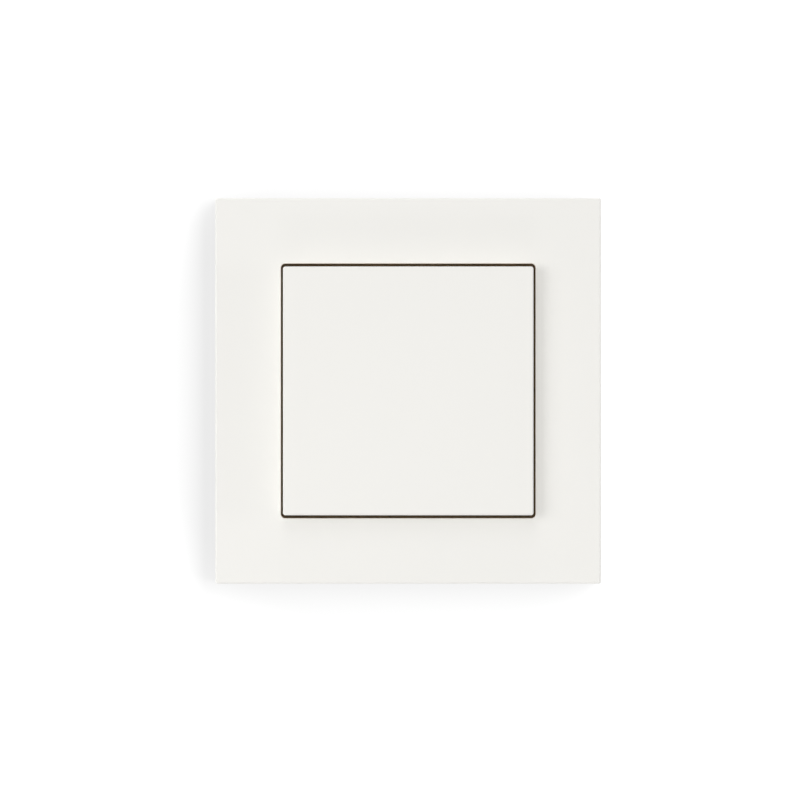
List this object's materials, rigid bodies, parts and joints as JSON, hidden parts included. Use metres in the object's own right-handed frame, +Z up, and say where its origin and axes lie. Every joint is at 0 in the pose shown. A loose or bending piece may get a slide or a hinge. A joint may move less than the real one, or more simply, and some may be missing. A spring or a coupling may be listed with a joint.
{
  "type": "wall light switch",
  "caption": "Square surface-mounted wall switch with one sprung rocker, a clamped frame and a self-powered radio module behind it.",
  "frame": {"origin": "centre of the base plate's flat back face, in the plane of the wall", "axes": "upright as mounted: +Z up the wall, +X to the right seen from the front, the front faces -Y and the wall lies at Y = 0"},
  "size_m": [0.084, 0.014, 0.084],
  "materials": {
    "switch_plastic": "warm white, fine satin moulding",
    "carrier_plastic": "dark warm grey, matt moulding",
    "module_plastic": "dark grey, matt moulding",
    "lever_plastic": "black, glass-filled",
    "magnet_metal": "nickel plated",
    "core_iron": "stamped soft iron",
    "copper": "enamelled copper wire",
    "tinned_metal": "tinned",
    "spring_steel": "bright spring steel",
    "board_green": "solder mask on glass laminate",
    "chip_black": "moulded chip package",
    "capacitor_yellow": "moulded capacitor package",
    "dome_rubber": "conductive silicone"
  },
  "bodies": {
    "root": {"cover_frame": "switch_plastic", "base_plate": "carrier_plastic", "clamp_ring": "carrier_plastic", "module_base": "module_plastic", "module_cover": "module_plastic", "u_core": "core_iron", "coil_bobbin": "lever_plastic", "coil_winding": "copper", "coil_pins": "tinned_metal", "return_leaf_spring": "spring_steel", "circuit_board": "board_green", "radio_chip": "chip_black", "storage_capacitor": "capacitor_yellow", "board_components": "chip_black", "antenna": "tinned_metal", "contact_domes": "dome_rubber"},
    "rocker": {"rocker": "switch_plastic"},
    "lever": {"drive_lever": "lever_plastic", "magnet": "magnet_metal", "front_pole_plate": "core_iron", "rear_pole_plate": "core_iron"}
  },
  "joints": [
    {"name": "rocker_tilt", "type": "hinge", "parent": "root", "child": "rocker", "pos_m": [0, -0.009, 0], "axis": [1, 0, 0], "range_deg": [-5, 5], "stiffness_Nm_per_rad": 1.5},
    {"name": "lever_tilt", "type": "hinge", "parent": "root", "child": "lever", "pos_m": [0, -0.00579, 0], "axis": [1, 0, 0], "range_deg": [-5, 5]}
  ],
  "couplings": [
    {"joint": "lever_tilt", "follows": "rocker_tilt", "ratio": 1}
  ]
}
